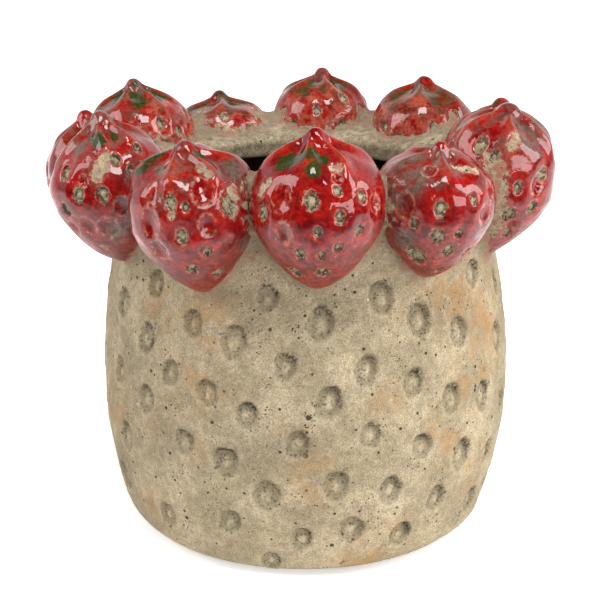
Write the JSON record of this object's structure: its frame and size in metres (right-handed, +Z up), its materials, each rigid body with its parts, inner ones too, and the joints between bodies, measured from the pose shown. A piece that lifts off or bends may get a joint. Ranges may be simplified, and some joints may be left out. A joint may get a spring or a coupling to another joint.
{
  "type": "flower pot",
  "caption": "Round bellied stoneware flower pot with dimpled bare clay and a ring of red glazed strawberries luted round its rim.",
  "frame": {"origin": "centre of the flat foot, on the surface that the pot stands on", "axes": "+Z up through the mouth; -Y faces the viewer of the picture, +X is to the viewer's right"},
  "size_m": [0.1827, 0.1866, 0.1566],
  "materials": {
    "bare_clay": "unglazed sandy clay, matt, beige with ochre blushes and dark grit",
    "red_glaze": "glossy red glaze, worn through to bare clay at the seed pits"
  },
  "bodies": {
    "root": {"pot_body": "bare_clay", "strawberry_01": "red_glaze", "strawberry_02": "red_glaze", "strawberry_03": "red_glaze", "strawberry_04": "red_glaze", "strawberry_05": "red_glaze", "strawberry_06": "red_glaze", "strawberry_07": "red_glaze", "strawberry_08": "red_glaze", "strawberry_09": "red_glaze", "strawberry_10": "red_glaze", "strawberry_11": "red_glaze"}
  },
  "joints": []
}
